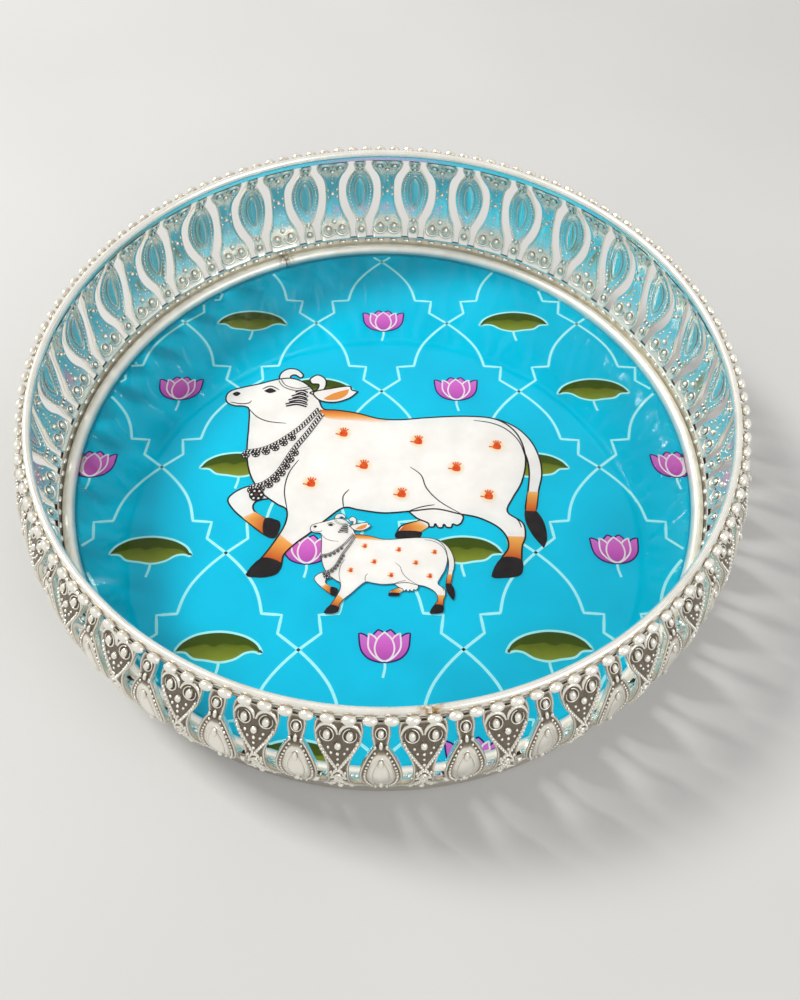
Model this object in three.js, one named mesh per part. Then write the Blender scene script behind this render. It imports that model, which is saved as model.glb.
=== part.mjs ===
// A round tray for worship: a picture lies in a shallow metal pan with a ring round it, a clear cover
// fills the ring, and a pierced, barrel-shaped gallery of stamped strip stands round them.
// Millimetres, +Z up, +Y to the back. The origin is the centre of the underside.
import * as THREE from "three";

// The pan and what lies in it, from the underside up.
const PAN_RADIUS = 107.5;
const PAN_WALL = 1.2;
const PAN_FLOOR = 0.8;
const BOARD_THICKNESS = 4.0;
const PICTURE_THICKNESS = 0.3;
const COVER_THICKNESS = 1.0;
const EDGE_CLEARANCE = 0.3;
const COVER_CLEARANCE = 0.15;

// The half-round ring round the picture, and the half-round moulding on top of the gallery.
const RING_WIDTH = 3.9;
const RING_HEIGHT = 2.4;
const RIM_WIDTH = 2.5;
const RIM_HEIGHT = 1.9;
const RING_SEAM_AZIMUTH = -24;
const RIM_SEAM_AZIMUTH = 172;

// The gallery: die-stamped strip, joined from equal lengths. The azimuth is that of its first joint.
const STRIP_LENGTHS = 3;
const REPEATS_PER_LENGTH = 11;
const STRIP_THICKNESS = 0.9;
const STRIP_HEIGHT = 45.0;
const STRIP_BOW = 5.8;
const STRIP_LEAN = 3.6;
const STRIP_JOINT_AZIMUTH = 96.8;
const JOINT_GAP = 0.3;

// The borders along the strip's edges: a broad one with flat beads above the foot, and a narrow one
// with balls that stand out under the head.
const FOOT_BORDER = 5.0;
const HEAD_BORDER = 2.6;
const BEADS_PER_REPEAT = 4;
const FOOT_BEAD_RISE = 2.5;
const FOOT_BEAD_RELIEF = 1.4;
const HEAD_BALL_DROP = 0.9;
const HEAD_BALL_RELIEF = 1.9;
const SCALLOP_DEPTH = 0.5;

// One repeat: an eye-shaped lens on a bulb, and half an hourglass on each side of it. The slits
// between them are cut right through, and the hourglass takes the width that is left.
const BULB_RISE = 2.4;
const NECK_RISE = 6.0;
const LENS_WIDTH = 10.8;
const NECK_WIDTH = 3.6;
const BULB_WIDTH = 4.6;
const SLIT_END_WIDTH = 1.8;
const SLIT_WIDTH = 3.1;
const SLIT_WAIST_WIDTH = 2.5;

// How far the stamping stands out of the strip along the middle of each figure.
const LENS_RELIEF = 1.1;
const LENS_GROOVE = 0.35;
const NECK_RELIEF = 0.4;
const BULB_RELIEF = 0.9;
const BELL_RELIEF = 0.8;
const FLANK_RELIEF = 0.5;
const WAIST_RELIEF = 1.0;

// How finely round things are cut.
const ROUND_STEPS = 66;
const MOULDING_STEPS = 5;

const TURN = 2 * Math.PI;
const DEGREE = Math.PI / 180;

// Heights and radii that follow from the sizes above.
const boardBottom = PAN_FLOOR;
const boardTop = boardBottom + BOARD_THICKNESS;
const pictureTop = boardTop + PICTURE_THICKNESS;
const coverTop = pictureTop + COVER_THICKNESS;
const panHeight = coverTop;
const stripTop = panHeight + STRIP_HEIGHT;
const figureMiddle = (FOOT_BORDER + STRIP_HEIGHT - HEAD_BORDER) / 2;
const insertRadius = PAN_RADIUS - PAN_WALL - EDGE_CLEARANCE;
const footRadius = PAN_RADIUS - PAN_WALL / 2;
const ringRadius = stripRadius(RING_HEIGHT) - STRIP_THICKNESS / 2 - EDGE_CLEARANCE;
const coverRadius = ringRadius - RING_WIDTH - COVER_CLEARANCE;

const silver = new THREE.MeshStandardMaterial({ color: 0xcfc6b2, roughness: 0.25, metalness: 1.0 });
const dullSilver = new THREE.MeshStandardMaterial({ color: 0xb5ac9a, roughness: 0.4, metalness: 1.0 });
const board = new THREE.MeshStandardMaterial({ color: 0x9a7448, roughness: 0.85, metalness: 0.0 });
const picture = new THREE.MeshStandardMaterial({ color: 0x05bcd6, roughness: 0.5, metalness: 0.0 });
const clear = new THREE.MeshStandardMaterial({
  color: 0xf2fbff,
  roughness: 0.05,
  metalness: 0.0,
  transparent: true,
  opacity: 0.25,
});

// An azimuth is measured from the back, clockwise as seen from above.
function angleOfAzimuth(azimuth) {
  return (90 - azimuth) * DEGREE;
}

function geometryFrom(positions, triangles) {
  const geometry = new THREE.BufferGeometry();
  geometry.setAttribute("position", new THREE.Float32BufferAttribute(positions, 3));
  geometry.setIndex(triangles);
  geometry.computeVertexNormals();
  return geometry;
}

function disc(radius, bottom, top) {
  const geometry = new THREE.CylinderGeometry(radius, radius, top - bottom, ROUND_STEPS);
  geometry.rotateX(Math.PI / 2);
  geometry.translate(0, 0, (top + bottom) / 2);
  return geometry;
}

// The pan's floor and low wall in one turned profile, from the axis out and back to it.
function panGeometry() {
  const inner = PAN_RADIUS - PAN_WALL;
  const profile = [
    new THREE.Vector2(0, 0),
    new THREE.Vector2(PAN_RADIUS, 0),
    new THREE.Vector2(PAN_RADIUS, panHeight),
    new THREE.Vector2(inner, panHeight),
    new THREE.Vector2(inner, PAN_FLOOR),
    new THREE.Vector2(0, PAN_FLOOR),
  ];
  const geometry = new THREE.LatheGeometry(profile, ROUND_STEPS);
  geometry.rotateX(Math.PI / 2);
  return geometry;
}

// A half-round section with its flat side down, as radius and height, anticlockwise.
function halfRound(outerRadius, width, bottom, height) {
  const centre = outerRadius - width / 2;
  const points = [];
  for (let i = 0; i <= MOULDING_STEPS; i++) {
    const angle = (Math.PI * i) / MOULDING_STEPS;
    points.push([centre + (width / 2) * Math.cos(angle), bottom + height * Math.sin(angle)]);
  }
  return points;
}

// The ring stands on the picture with straight sides as high as the cover, which fills it.
function ringSection() {
  const crown = halfRound(ringRadius, RING_WIDTH, coverTop, RING_HEIGHT);
  return [[ringRadius, pictureTop], ...crown, [ringRadius - RING_WIDTH, pictureTop]];
}

// A wire bent into a ring, whose two ends meet at a seam.
function bentRing(section, seamAzimuth) {
  const outerRadius = Math.max(...section.map((point) => point[0]));
  const seamAngle = JOINT_GAP / outerRadius;
  const start = angleOfAzimuth(seamAzimuth) + seamAngle / 2;
  const positions = [];
  const triangles = [];
  const sides = section.length;
  for (let i = 0; i <= ROUND_STEPS; i++) {
    const angle = start + ((TURN - seamAngle) * i) / ROUND_STEPS;
    for (const [radius, height] of section) {
      positions.push(radius * Math.cos(angle), radius * Math.sin(angle), height);
    }
  }
  for (let i = 0; i < ROUND_STEPS; i++) {
    for (let j = 0; j < sides; j++) {
      const here = i * sides + j;
      const next = i * sides + ((j + 1) % sides);
      triangles.push(here, here + sides, next + sides);
      triangles.push(here, next + sides, next);
    }
  }
  const lastRing = ROUND_STEPS * sides;
  for (let j = 1; j < sides - 1; j++) {
    triangles.push(0, j, j + 1);
    triangles.push(lastRing, lastRing + j + 1, lastRing + j);
  }
  return geometryFrom(positions, triangles);
}

// The strip's middle surface: it leans in towards the top, and between its borders it bows out in
// an arc. Heights are measured from the strip's foot edge.
function stripRadius(height) {
  const halfChord = figureMiddle - FOOT_BORDER;
  const arcRadius = (halfChord * halfChord + STRIP_BOW * STRIP_BOW) / (2 * STRIP_BOW);
  const fromMiddle = Math.min(Math.abs(height - figureMiddle), halfChord);
  const arc = Math.sqrt(arcRadius * arcRadius - fromMiddle * fromMiddle) - (arcRadius - STRIP_BOW);
  return footRadius - (STRIP_LEAN * height) / STRIP_HEIGHT + arc;
}

// The direction square to that surface, as its shares along the radius and upwards.
function stripNormal(height) {
  const step = 0.5;
  const slope = (stripRadius(height + step) - stripRadius(height - step)) / (2 * step);
  const size = Math.hypot(1, slope);
  return [1 / size, -slope / size];
}

// The rows of points that the strip is built from, foot to the middle of the figures. A figure's
// width is given at the row, and its relief along its middle.
function lowerHalfRows() {
  const middle = figureMiddle;
  const slitBottom = FOOT_BORDER;
  const neck = slitBottom + NECK_RISE;
  const flareWidth = NECK_WIDTH + (LENS_WIDTH - NECK_WIDTH) * Math.sin(Math.PI / 4);
  return [
    { height: 0, scallop: SCALLOP_DEPTH },
    { height: FOOT_BEAD_RISE, bead: FOOT_BEAD_RELIEF },
    { height: slitBottom, lens: BULB_WIDTH, slit: SLIT_END_WIDTH, lensRelief: 0, glassRelief: 0, end: true },
    {
      height: slitBottom + BULB_RISE,
      lens: BULB_WIDTH,
      slit: SLIT_END_WIDTH,
      lensRelief: BULB_RELIEF,
      glassRelief: BELL_RELIEF,
    },
    { height: neck, lens: NECK_WIDTH, slit: SLIT_WIDTH, lensRelief: NECK_RELIEF, glassRelief: FLANK_RELIEF },
    {
      height: (neck + middle) / 2,
      lens: flareWidth,
      slit: SLIT_WIDTH,
      lensRelief: LENS_RELIEF / 2,
      glassRelief: FLANK_RELIEF,
    },
    {
      height: middle,
      lens: LENS_WIDTH,
      slit: SLIT_WAIST_WIDTH,
      lensRelief: LENS_RELIEF,
      glassRelief: WAIST_RELIEF,
      groove: true,
    },
  ];
}

function stripRows() {
  const lower = lowerHalfRows();
  const upper = lower.slice(0, -1).reverse();
  const mirrored = upper.map((row) => ({ ...row, height: 2 * figureMiddle - row.height, upper: true }));
  const head = mirrored.find((row) => row.scallop);
  head.height = STRIP_HEIGHT;
  const balls = mirrored.find((row) => row.bead);
  balls.height = STRIP_HEIGHT - HEAD_BALL_DROP;
  balls.bead = HEAD_BALL_RELIEF;
  return [...lower, ...mirrored];
}

// A border row runs unbroken from one end of the strip to the other, two points to a bead.
function borderPoints(row, pitch) {
  const steps = 2 * BEADS_PER_REPEAT * REPEATS_PER_LENGTH;
  const points = [];
  for (let i = 0; i <= steps; i++) {
    const crest = i % 2 === 1;
    const lift = row.scallop && !crest ? row.scallop : 0;
    points.push({
      angle: (i * pitch) / (2 * BEADS_PER_REPEAT),
      height: row.upper ? row.height - lift : row.height + lift,
      relief: row.bead && crest ? row.bead : 0,
      outerOnly: Boolean(row.bead),
    });
  }
  return points;
}

// A pierced row: each repeat starts in the middle of an hourglass. A slit follows the point that
// says so.
function piercedPoints(row, pitch) {
  const radius = stripRadius(row.height);
  const lensEdge = row.lens / 2 / radius;
  const slitEdge = lensEdge + row.slit / radius;
  const quarter = (slitEdge + pitch / 2) / 2;
  const points = [];
  const add = (angle, relief, more) => points.push({ angle, height: row.height, relief, ...more });
  for (let repeat = 0; repeat < REPEATS_PER_LENGTH; repeat++) {
    const lens = (repeat + 0.5) * pitch;
    add(repeat * pitch, row.glassRelief);
    if (row.end) add(lens - quarter, row.glassRelief);
    add(lens - slitEdge, 0, { slitAfter: true });
    add(lens - lensEdge, 0);
    if (row.groove) add(lens - lensEdge / 2, -LENS_GROOVE, { outerOnly: true });
    add(lens, row.lensRelief);
    if (row.groove) add(lens + lensEdge / 2, -LENS_GROOVE, { outerOnly: true });
    add(lens + lensEdge, 0, { slitAfter: true });
    add(lens + slitEdge, 0);
    if (row.end) add(lens + quarter, row.glassRelief);
  }
  add(REPEATS_PER_LENGTH * pitch, row.glassRelief);
  return points;
}

// Fills the band between two lines of points whose places along the band rise. The second line lies
// to the left of the first, seen from outside the solid.
function band(triangles, first, second) {
  let i = 0;
  let j = 0;
  while (i < first.length - 1 || j < second.length - 1) {
    const firstNext = i < first.length - 1 ? first[i + 1].at + first[i].at : Infinity;
    const secondNext = j < second.length - 1 ? second[j + 1].at + second[j].at : Infinity;
    if (firstNext <= secondNext) {
      triangles.push(first[i].index, first[i + 1].index, second[j].index);
      i += 1;
    } else {
      triangles.push(first[i].index, second[j + 1].index, second[j].index);
      j += 1;
    }
  }
}

function runsBetweenSlits(points) {
  const runs = [[]];
  for (const point of points) {
    runs[runs.length - 1].push(point);
    if (point.slitAfter) runs.push([]);
  }
  return runs;
}

// One length of strip, standing on z = 0 with its first end at angle 0.
function stripGeometry() {
  const positions = [];
  const triangles = [];
  const pitch = TURN / (STRIP_LENGTHS * REPEATS_PER_LENGTH);
  const span = REPEATS_PER_LENGTH * pitch;

  const addVertex = (point, offset) => {
    const radius = stripRadius(point.height);
    const [outwards, upwards] = stripNormal(point.height);
    const edgeRow = point.height <= SCALLOP_DEPTH || point.height >= STRIP_HEIGHT - SCALLOP_DEPTH;
    const x = radius + offset * outwards;
    const z = point.height + (edgeRow ? 0 : offset * upwards);
    const inset = JOINT_GAP / 2 / radius;
    const angle = Math.min(Math.max(point.angle, inset), span - inset);
    positions.push(x * Math.cos(angle), x * Math.sin(angle), z);
    return positions.length / 3 - 1;
  };

  const rows = stripRows().map((row) => {
    const points = row.lens ? piercedPoints(row, pitch) : borderPoints(row, pitch);
    for (const point of points) {
      point.outer = addVertex(point, point.relief + STRIP_THICKNESS / 2);
      if (!point.outerOnly) point.inner = addVertex(point, point.relief - STRIP_THICKNESS / 2);
    }
    return { ...row, points };
  });

  const outerLine = (points) => points.map((point) => ({ index: point.outer, at: point.angle }));
  const innerPoints = (points) => points.filter((point) => !point.outerOnly);
  const innerLine = (points) => innerPoints(points).map((point) => ({ index: point.inner, at: point.angle }));
  const outerRise = (points) => points.map((point) => ({ index: point.outer, at: point.height }));
  const innerRise = (points) => innerPoints(points).map((point) => ({ index: point.inner, at: point.height }));

  const outerFace = (lower, upper) => band(triangles, outerLine(lower), outerLine(upper));
  const innerFace = (lower, upper) => band(triangles, innerLine(upper), innerLine(lower));

  // The outside follows every row. The inside leaves out the row of beads.
  const fillRows = (list, face) => {
    for (let i = 0; i < list.length - 1; i++) {
      const pierced = list[i].lens && list[i + 1].lens;
      const lower = pierced ? runsBetweenSlits(list[i].points) : [list[i].points];
      const upper = pierced ? runsBetweenSlits(list[i + 1].points) : [list[i + 1].points];
      lower.forEach((run, k) => face(run, upper[k]));
    }
  };
  fillRows(rows, outerFace);
  fillRows(rows.filter((row) => !row.bead), innerFace);

  // The walls of the slits, up their sides and across their two ends.
  const piercedRows = rows.filter((row) => row.lens).map((row) => runsBetweenSlits(row.points));
  const slits = piercedRows[0].length - 1;
  for (let k = 0; k < slits; k++) {
    const before = piercedRows.map((runs) => runs[k][runs[k].length - 1]);
    const after = piercedRows.map((runs) => runs[k + 1][0]);
    band(triangles, innerRise(before), outerRise(before));
    band(triangles, outerRise(after), innerRise(after));
    const last = piercedRows.length - 1;
    const foot = [before[0], after[0]];
    const head = [before[last], after[last]];
    band(triangles, outerLine(foot), innerLine(foot));
    band(triangles, innerLine(head), outerLine(head));
  }

  // The strip's two long edges and its two ends.
  const footRow = rows[0].points;
  const headRow = rows[rows.length - 1].points;
  band(triangles, innerLine(footRow), outerLine(footRow));
  band(triangles, outerLine(headRow), innerLine(headRow));
  const firstEnd = rows.map((row) => row.points[0]);
  const lastEnd = rows.map((row) => row.points[row.points.length - 1]);
  band(triangles, outerRise(firstEnd), innerRise(firstEnd));
  band(triangles, innerRise(lastEnd), outerRise(lastEnd));
  return geometryFrom(positions, triangles);
}

function piece(name, geometry, material) {
  const mesh = new THREE.Mesh(geometry, material);
  mesh.name = name;
  return mesh;
}

function makeBase() {
  const base = new THREE.Group();
  base.add(piece("base_pan", panGeometry(), dullSilver));
  base.add(piece("base_board", disc(insertRadius, boardBottom, boardTop), board));
  base.add(piece("picture_disc", disc(insertRadius, boardTop, pictureTop), picture));
  base.add(piece("clear_cover", disc(coverRadius, pictureTop, coverTop), clear));
  base.add(piece("inner_ring", bentRing(ringSection(), RING_SEAM_AZIMUTH), silver));
  return base;
}

function makeGallery() {
  const gallery = new THREE.Group();
  const geometry = stripGeometry();
  for (let i = 0; i < STRIP_LENGTHS; i++) {
    const strip = piece("gallery_strip_" + (i + 1), geometry, silver);
    strip.position.z = panHeight;
    strip.rotation.z = angleOfAzimuth(STRIP_JOINT_AZIMUTH) + (TURN * i) / STRIP_LENGTHS;
    gallery.add(strip);
  }
  const rimRadius = stripRadius(STRIP_HEIGHT) + STRIP_THICKNESS / 2;
  const rimSection = halfRound(rimRadius, RIM_WIDTH, stripTop, RIM_HEIGHT);
  gallery.add(piece("rim_moulding", bentRing(rimSection, RIM_SEAM_AZIMUTH), silver));
  return gallery;
}

const tray = new THREE.Group();
tray.add(makeBase());
tray.add(makeGallery());

export default tray;
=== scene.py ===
# A round tray for worship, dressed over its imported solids: stamped gallery, mouldings, pan, and a
# printed picture under a clear cover. Lengths are in millimetres here and become metres in the meshes.
import math

import bpy
import numpy as np
from mathutils import Matrix, Vector
from mathutils.geometry import tessellate_polygon


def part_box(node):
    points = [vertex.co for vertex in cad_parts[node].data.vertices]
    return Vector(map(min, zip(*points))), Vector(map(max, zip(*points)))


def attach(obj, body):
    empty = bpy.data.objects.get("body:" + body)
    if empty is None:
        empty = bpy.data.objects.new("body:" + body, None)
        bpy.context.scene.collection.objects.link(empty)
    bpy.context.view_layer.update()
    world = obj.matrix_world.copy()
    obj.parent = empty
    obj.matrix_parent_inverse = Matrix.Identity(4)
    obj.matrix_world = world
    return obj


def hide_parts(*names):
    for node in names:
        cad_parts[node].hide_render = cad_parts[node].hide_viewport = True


MM = 0.001
TURN = 2 * math.pi

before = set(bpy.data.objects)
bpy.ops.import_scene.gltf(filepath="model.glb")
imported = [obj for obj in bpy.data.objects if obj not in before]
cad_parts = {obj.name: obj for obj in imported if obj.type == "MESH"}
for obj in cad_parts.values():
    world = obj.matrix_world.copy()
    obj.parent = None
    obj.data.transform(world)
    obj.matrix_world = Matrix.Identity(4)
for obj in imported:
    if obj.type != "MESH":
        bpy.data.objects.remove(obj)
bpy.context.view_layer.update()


def node_box(node):
    lo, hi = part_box(node)
    return lo / MM, hi / MM


# Sizes that the frame gives.
PAN_RADIUS = node_box("base_pan")[1].x
PICTURE_TOP = node_box("picture_disc")[1].z
PICTURE_RADIUS = node_box("picture_disc")[1].x
COVER_TOP = node_box("clear_cover")[1].z
COVER_RADIUS = node_box("clear_cover")[1].x
RING_RADIUS = node_box("inner_ring")[1].x
RING_TOP = node_box("inner_ring")[1].z
STRIP_FOOT = node_box("gallery_strip_1")[0].z
STRIP_HEAD = node_box("gallery_strip_1")[1].z
RIM_RADIUS = node_box("rim_moulding")[1].x
RIM_TOP = node_box("rim_moulding")[1].z

# The strip's form, as the solids have it.
STRIP_HEIGHT = STRIP_HEAD - STRIP_FOOT
STRIP_LENGTHS = 3
REPEATS_PER_LENGTH = 11
PITCH = TURN / (STRIP_LENGTHS * REPEATS_PER_LENGTH)
FOOT_RADIUS = PAN_RADIUS - 0.6
STRIP_BOW = 5.8
STRIP_LEAN = 3.6
STRIP_HALF = 0.45
STRIP_JOINT_AZIMUTH = 96.8
JOINT_GAP = 0.3
FOOT_BORDER = 5.0
HEAD_BORDER = 2.6
MIDDLE = (FOOT_BORDER + STRIP_HEIGHT - HEAD_BORDER) / 2
FIGURE_REACH = MIDDLE - FOOT_BORDER
PAN_WALL = 1.2
PAN_FLOOR = 0.8
RING_WIDTH = 3.9
RIM_WIDTH = 2.5
RING_SEAM_AZIMUTH = -24.0
RIM_SEAM_AZIMUTH = 172.0

# How finely things are cut, and how deep what stands on a surface is sunk into it.
ROUND_STEPS = 264
ROW_STEP = 0.85
SLOPE_STEP = 0.4
SKIN = 0.02
TINY = 1e-9


# Small helpers for meshes.


def angle_of_azimuth(azimuth):
    return math.radians(90 - azimuth)


class Shell:
    """Points, faces, and the marks of each point that the materials read."""

    def __init__(self):
        self.points = []
        self.faces = []
        self.marks = []
        self.count = 0

    def add(self, points, marks, *blocks):
        """Adds points, one mark for all or marks for each, and blocks of faces between them."""
        points = np.asarray(points, float).reshape(-1, 3)
        marks = np.full(len(points), marks) if np.ndim(marks) == 0 else marks
        self.points.append(points)
        self.marks.append(np.reshape(marks, (len(points), -1)))
        self.faces += [block + self.count for block in blocks]
        self.count += len(points)

    def join(self, other, angle=0.0):
        """Adds a copy of the other shell, turned about the tray's axis."""
        cos, sin = math.cos(angle), math.sin(angle)
        turn = np.array([[cos, sin, 0], [-sin, cos, 0], [0, 0, 1]])
        self.points += [points @ turn for points in other.points]
        self.marks += other.marks
        self.faces += [block + self.count for block in other.faces]
        self.count += other.count


def grid_faces(rows, columns, closed=False, flip=False):
    """Quads of a grid of points that is stored row by row."""
    across = columns if closed else columns - 1
    row, column = np.meshgrid(np.arange(rows - 1), np.arange(across), indexing="ij")
    here = row * columns + column
    right = row * columns + (column + 1) % columns
    quads = np.stack([here, right, right + columns, here + columns], -1).reshape(-1, 4)
    return quads[:, ::-1] if flip else quads


def link_new(name, data):
    """A new object in the scene that shows this data."""
    thing = bpy.data.objects.new(name, data)
    bpy.context.scene.collection.objects.link(thing)
    return thing


def link_mesh(name, points, faces, attribute_name, values, materials):
    """An object of those faces. The attribute holds one value, or three, for each point."""
    mesh = bpy.data.meshes.new(name)
    mesh.from_pydata((np.asarray(points) * MM).tolist(), [], faces)
    values = np.ravel(values)
    kind, field = ("FLOAT", "value") if len(values) == len(points) else ("FLOAT_VECTOR", "vector")
    mesh.attributes.new(attribute_name, kind, "POINT").data.foreach_set(field, values)
    for material in materials:
        mesh.materials.append(material)
    return link_new(name, mesh)


def make_object(name, shell, material, smooth=True):
    faces = [face for block in shell.faces for face in block.tolist()]
    points, marks = np.concatenate(shell.points), np.concatenate(shell.marks)
    piece = link_mesh(name, points, faces, "marks", marks, [material])
    piece.data.polygons.foreach_set("use_smooth", [smooth] * len(faces))
    piece.data.update()
    return piece


def stand_for(piece, slot, *nodes):
    """The piece joins the root body and takes the place of the CAD nodes, which are hidden."""
    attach(piece, "root")
    if nodes:
        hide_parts(*nodes)


def hermite(knots, values, at):
    """A smooth curve through the values at the knots."""
    knots, values = np.array(knots), np.array(values)
    slopes = np.gradient(values, knots)
    at = np.clip(at, knots[0], knots[-1])
    k = np.clip(np.searchsorted(knots, at) - 1, 0, len(knots) - 2)
    width = knots[k + 1] - knots[k]
    t = (at - knots[k]) / width
    bend = t * (1 - t) * width * ((1 - t) * slopes[k] - t * slopes[k + 1])
    return values[k] + t**2 * (3 - 2 * t) * (values[k + 1] - values[k]) + bend


def flow(points, closed=False, steps=6):
    """A smooth line through the points. A point given twice running makes a corner."""
    points = [np.asarray(p, float) for p in points]
    count = len(points)
    line = []
    for i in range(count if closed else count - 1):
        b, c = points[i], points[(i + 1) % count]
        if np.allclose(b, c):
            continue
        a = points[i - 1] if closed or i else b
        d = points[(i + 2) % count] if closed or i + 2 < count else c
        for t in np.arange(steps) / steps:
            bend = (2 * a - 5 * b + 4 * c - d) * t**2 + (3 * b - a - 3 * c + d) * t**3
            line.append(0.5 * (2 * b + (c - a) * t + bend))
    if not closed:
        line.append(points[-1])
    return np.array(line)


def sideways(path, closed):
    """Unit steps to the left of a path, one at each of its points."""
    ahead = np.roll(path, -1, 0) - np.roll(path, 1, 0)
    if not closed:
        ahead[[0, -1]] = path[[1, -1]] - path[[0, -2]]
    ahead /= np.maximum(np.linalg.norm(ahead, axis=1), TINY)[:, None]
    return np.stack([-ahead[:, 1], ahead[:, 0]], -1)


def way_along(line):
    """How far along a line each of its points lies."""
    return np.concatenate([[0], np.cumsum(np.hypot(*np.diff(line, axis=0).T))])


def place_at(line, at):
    """The place that far along a line."""
    return np.array([np.interp(at, way_along(line), line[:, axis]) for axis in (0, 1)])


def arc_path(centre, radius, start, stop, steps):
    turn = np.radians(np.linspace(start, stop, steps))
    return np.asarray(centre) + radius * np.stack([np.cos(turn), np.sin(turn)], -1)


def circle(centre, radius, steps):
    return arc_path(centre, radius, 0, 360, steps + 1)[:-1]


def pointed_round(steps, point):
    """Places round a circle. A point above 1 draws its left and right ends in."""
    turn = np.arange(steps) * TURN / steps
    wave = np.cos(turn)
    return np.stack([np.sign(wave) * np.abs(wave) ** point, np.sin(turn)], -1)


def rotated(points, turn):
    cos, sin = math.cos(turn), math.sin(turn)
    return np.asarray(points, float) @ np.array([[cos, sin], [-sin, cos]])


# The gallery's middle surface. A place on it is s, the way along the strip, and h, the height from
# its foot. Side +1 is the outside and -1 the inside.
SIDES = (1, -1)
# Nearer than this to its edges, the strip is thick straight outwards.
PLAIN_EDGE = 0.7


def strip_radius(h):
    arc_radius = (FIGURE_REACH**2 + STRIP_BOW**2) / (2 * STRIP_BOW)
    off = np.minimum(np.abs(h - MIDDLE), FIGURE_REACH)
    arc = np.sqrt(arc_radius**2 - off**2) - (arc_radius - STRIP_BOW)
    return FOOT_RADIUS - STRIP_LEAN * h / STRIP_HEIGHT + arc


def on_strip(s, h, offset):
    """Points at those places, lifted square to the surface."""
    s, h, offset = np.broadcast_arrays(*(np.asarray(v, float) for v in (s, h, offset)))
    radius = strip_radius(h)
    slope = (strip_radius(h + SLOPE_STEP) - strip_radius(h - SLOPE_STEP)) / (2 * SLOPE_STEP)
    size = np.hypot(1, slope)
    edge = (h < PLAIN_EDGE) | (h > STRIP_HEIGHT - PLAIN_EDGE)
    rise = np.where(edge, 0, -slope / size * offset)
    out = radius + offset / size
    angle = s / radius
    return np.stack([out * np.cos(angle), out * np.sin(angle), STRIP_FOOT + h + rise], -1)


# Half widths of the lens figure and widths of the slit beside it, by height.
FIGURE_HEIGHTS = (5.0, 6.1, 7.6, 9.4, 11.0, 14.0, 17.3, 20.6, 23.7)
LENS_HALVES = (1.75, 2.2, 2.35, 2.1, 1.8, 3.15, 4.35, 5.13, 5.4)
SLIT_WIDTHS = (2.75, 1.95, 1.75, 2.35, 3.05, 3.2, 3.05, 2.7, 2.5)
# The raised line along a figure's outline, and the swell inside it.
EDGE_BEAD = 0.5
EDGE_PLACE = 0.32
EDGE_SPREAD = 0.22
FIELD_DOME = 0.4
FIELD_END = 3.0
# How much of the relief each side has.
RELIEF_SHARE = {1: 1.0, -1: 0.7}
# Columns of points: near a figure's edge by distance, and inside by share of the way.
EDGE_STEPS = np.array([0.0, 0.15, 0.32, 0.55, 0.9])
FIELD_STEPS = np.array([0.8, 0.6, 0.4, 0.2])
# How bright the metal is: the ground on each side, raised shapes, walls and raised lines. The ground is
# painted dark outside and light inside, as painted reflections of dark surroundings and of the print.
GROUND = {1: 0.1, -1: 0.72}
POLISH = 0.9
WALL_SHINE = 0.7
EDGE_SHINE = 1.3


def lens_half(h):
    return hermite(FIGURE_HEIGHTS, LENS_HALVES, MIDDLE - np.abs(h - MIDDLE))


def glass_half(h):
    """Half width of the hourglass figure, which has what the lens and two slits leave."""
    slit = hermite(FIGURE_HEIGHTS, SLIT_WIDTHS, MIDDLE - np.abs(h - MIDDLE))
    return PITCH * strip_radius(h) / 2 - lens_half(h) - slit


def edge_relief(half, s, h):
    """The raised line along a figure's outline."""
    end = FIGURE_REACH - np.abs(h - MIDDLE)
    from_edge = np.minimum(half - np.abs(s), end + 0.15)
    return EDGE_BEAD * np.exp(-(((from_edge - EDGE_PLACE) / EDGE_SPREAD) ** 2))


def figure_relief(half, s, h):
    """The raised line and a gentle swell inside it."""
    end = FIGURE_REACH - np.abs(h - MIDDLE)
    swell = FIELD_DOME * np.clip(1 - (s / half) ** 2, 0, 1) * np.clip(end / FIELD_END, 0, 1)
    return edge_relief(half, s, h) + swell


def glass_ground_tone(from_edge, h, side):
    # The hourglass has only the ground's painted reflection tone: dark outside, light inside.
    return np.full_like(h, GROUND[side])


def lens_ground_and_polish(from_edge, h, side):
    """The lens is polished inside its rows of dots."""
    inner = np.clip((from_edge - 1.7) / 0.4, 0, 1) * np.clip((10.5 - np.abs(h - MIDDLE)) / 1.5, 0, 1)
    # Outside its polished middle, the lens has the ground's painted reflection tone: dark outside, light
    # inside.
    return GROUND[side] + (POLISH - GROUND[side]) * inner


def figure_panel(shell, half_width, ground_and_polish, start=-1, stop=1):
    """One pierced figure, or half of it, with both faces and the walls of the slits beside it."""
    rows = int(round(2 * FIGURE_REACH / ROW_STEP)) + 1
    heights = np.linspace(FOOT_BORDER, MIDDLE + FIGURE_REACH, rows)[:, None]
    half = half_width(heights)
    right = np.concatenate([half - EDGE_STEPS, (half - EDGE_STEPS[-1]) * FIELD_STEPS], 1)
    s = np.concatenate([-right, np.zeros_like(half), right[:, ::-1]], 1)
    keep = np.sign(s[rows // 2])
    s = s[:, (keep >= start) & (keep <= stop)]
    h = heights + 0 * s
    relief = figure_relief(half, s, h)
    offsets = {side: side * (STRIP_HALF + relief * RELIEF_SHARE[side]) for side in SIDES}
    for side in SIDES:
        polish_and_shade = ground_and_polish(half - np.abs(s), h, side) + edge_relief(half, s, h) * EDGE_SHINE
        shell.add(on_strip(s, h, offsets[side]), polish_and_shade, grid_faces(*s.shape, flip=side < 0))
    for column, flip in ((0, False), (-1, True)):
        offset = np.stack([offsets[-1][:, column], offsets[1][:, column]], 1)
        wall = on_strip(s[:, [column]], heights, offset)
        shell.add(wall, WALL_SHINE, grid_faces(rows, 2, flip=flip))


def lifted(base, side, s, h, lift):
    """Points above the strip's relief, which base gives, on one of its sides."""
    return on_strip(s, h, side * (STRIP_HALF + base(s, h) * RELIEF_SHARE[side] + lift))


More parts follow.
